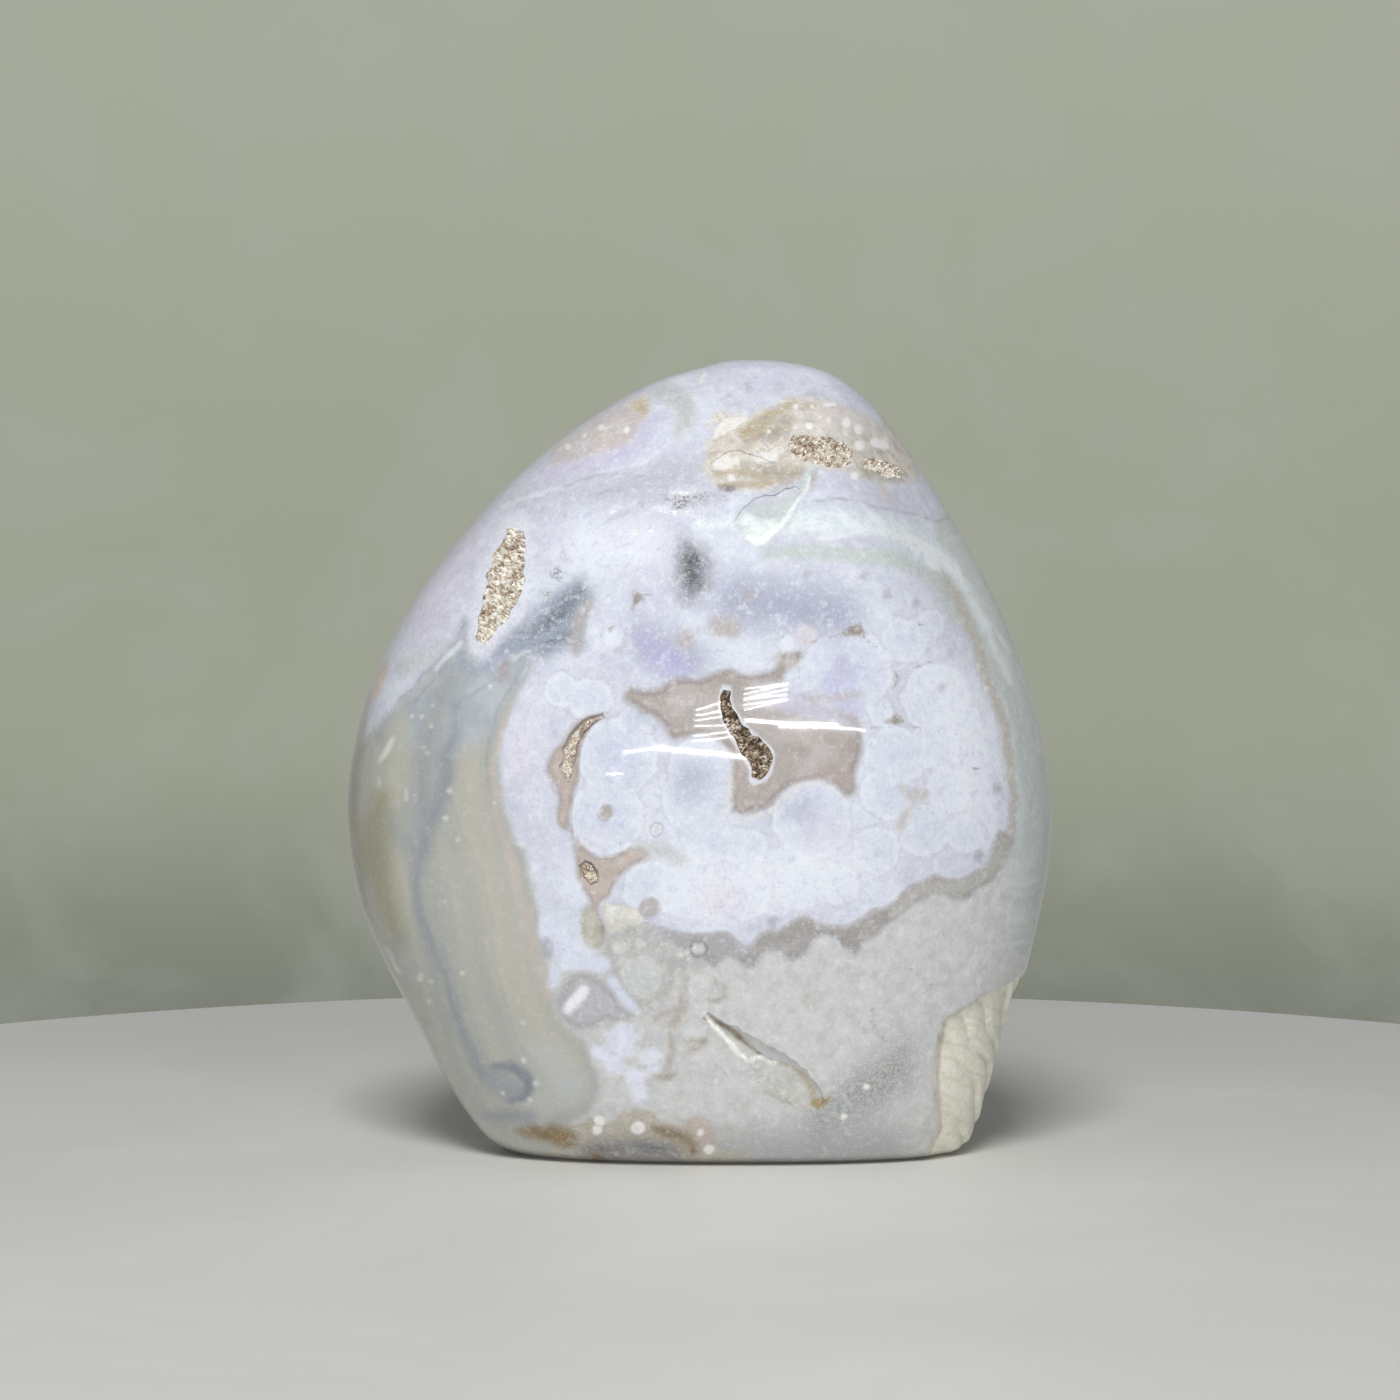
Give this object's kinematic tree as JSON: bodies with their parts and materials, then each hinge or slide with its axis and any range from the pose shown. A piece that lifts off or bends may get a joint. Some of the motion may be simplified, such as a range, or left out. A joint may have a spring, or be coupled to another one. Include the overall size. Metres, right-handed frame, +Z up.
{
  "type": "flower agate freeform",
  "caption": "Polished upright agate freeform with a flat sawn base, a rounded crown, crystal-lined hollows in its face and a patch of bare rind.",
  "frame": {"origin": "middle of the stone's footprint box, on the plane of its flat base", "axes": "+Z up from the base to the crown, +X to the right of someone who faces the stone, +Y from its face to its back"},
  "size_m": [0.0792, 0.0482, 0.0893],
  "materials": {
    "polished_agate": "high polish, slightly translucent, with a bare rind on the lower right edge",
    "quartz_druse": "small glittering quartz crystals"
  },
  "bodies": {
    "root": {"stone": "polished_agate", "slit_vug_druse": "quartz_druse", "shoulder_vug_druse": "quartz_druse", "crescent_vug_druse": "quartz_druse", "pocket_vug_druse": "quartz_druse", "crown_vug_druse": "quartz_druse", "ridge_vug_druse": "quartz_druse"}
  },
  "joints": []
}
